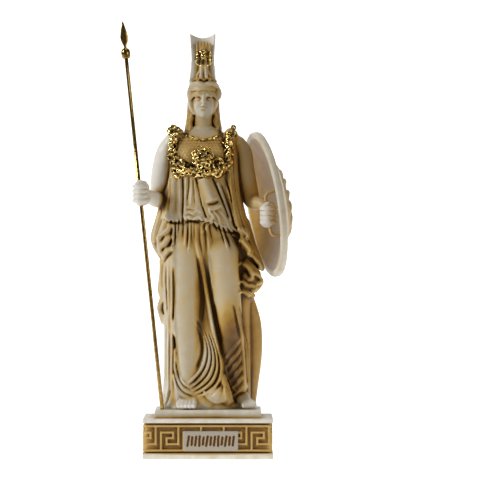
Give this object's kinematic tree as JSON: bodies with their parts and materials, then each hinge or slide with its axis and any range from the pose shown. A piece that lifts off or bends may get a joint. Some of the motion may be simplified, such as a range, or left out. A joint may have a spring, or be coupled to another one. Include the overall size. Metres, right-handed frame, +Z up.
{
  "type": "athena statue",
  "caption": "Standing statue of a helmeted goddess with crest, draped robe, spear and round shield, on a stepped plinth with a key frieze and a name plate.",
  "frame": {"origin": "centre of the plinth's underside", "axes": "+Z up along the figure, -Y the way the figure faces, +X towards the shield"},
  "size_m": [0.1239, 0.105, 0.3163],
  "materials": {
    "figure_stone": "satin cast alabaster, brown wash in the hollows, gilt details",
    "shield_stone": "satin cast alabaster, ochre wash inside",
    "brass": "polished",
    "plinth_stone": "satin cast alabaster, brown wash in the frieze",
    "plate_stone": "satin cast alabaster, brown wash"
  },
  "bodies": {
    "root": {"figure": "figure_stone", "shield": "shield_stone", "spear_shaft": "brass", "spear_head": "brass", "plinth": "plinth_stone", "name_plate": "plate_stone"}
  },
  "joints": []
}
